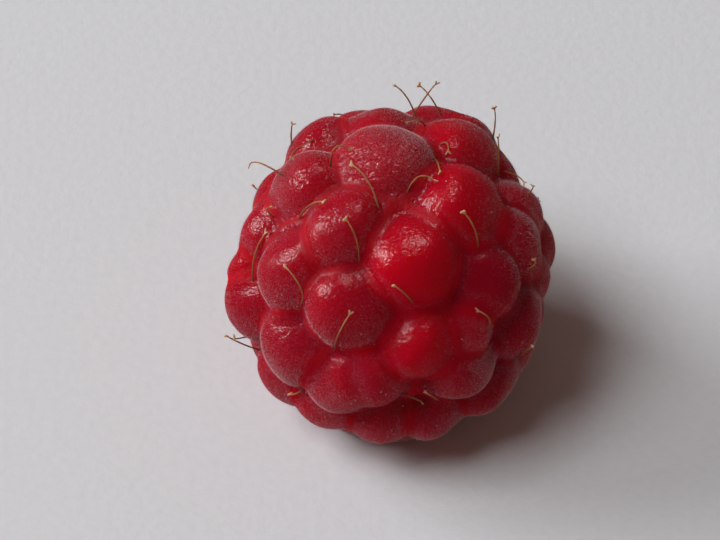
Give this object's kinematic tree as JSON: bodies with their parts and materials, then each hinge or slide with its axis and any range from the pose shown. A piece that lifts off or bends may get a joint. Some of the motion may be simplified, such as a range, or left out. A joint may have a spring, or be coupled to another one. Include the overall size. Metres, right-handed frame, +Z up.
{
  "type": "raspberry",
  "caption": "Ripe red raspberry, picked off its core and standing on its open end, with dried styles between its drupelets.",
  "frame": {"origin": "on the surface that the fruit stands on, under the middle of the fruit", "axes": "+Z up through the apex; -Y towards the side that carries the largest drupelets; +X to the right of it"},
  "size_m": [0.0198, 0.0201, 0.0186],
  "materials": {
    "skin": "translucent deep red fruit skin, soft gloss under a fine pale down, brighter red in the creases",
    "dried_style": "dry straw-brown plant thread, satin, with a paler knob"
  },
  "bodies": {
    "root": {"fruit": "skin", "style_01": "dried_style", "style_02": "dried_style", "style_03": "dried_style", "style_04": "dried_style", "style_05": "dried_style", "style_06": "dried_style", "style_07": "dried_style", "style_08": "dried_style", "style_09": "dried_style", "style_10": "dried_style", "style_11": "dried_style", "style_12": "dried_style", "style_13": "dried_style", "style_14": "dried_style", "style_15": "dried_style", "style_16": "dried_style", "style_17": "dried_style", "style_18": "dried_style", "style_19": "dried_style", "style_20": "dried_style", "style_21": "dried_style", "style_22": "dried_style", "style_23": "dried_style", "style_24": "dried_style", "style_25": "dried_style", "style_26": "dried_style", "style_27": "dried_style", "style_28": "dried_style", "style_29": "dried_style", "style_30": "dried_style", "style_31": "dried_style", "style_32": "dried_style", "style_33": "dried_style", "style_34": "dried_style", "style_35": "dried_style", "style_36": "dried_style", "style_37": "dried_style", "style_38": "dried_style", "style_39": "dried_style", "style_40": "dried_style", "style_41": "dried_style", "style_42": "dried_style", "style_43": "dried_style", "style_44": "dried_style"}
  },
  "joints": []
}
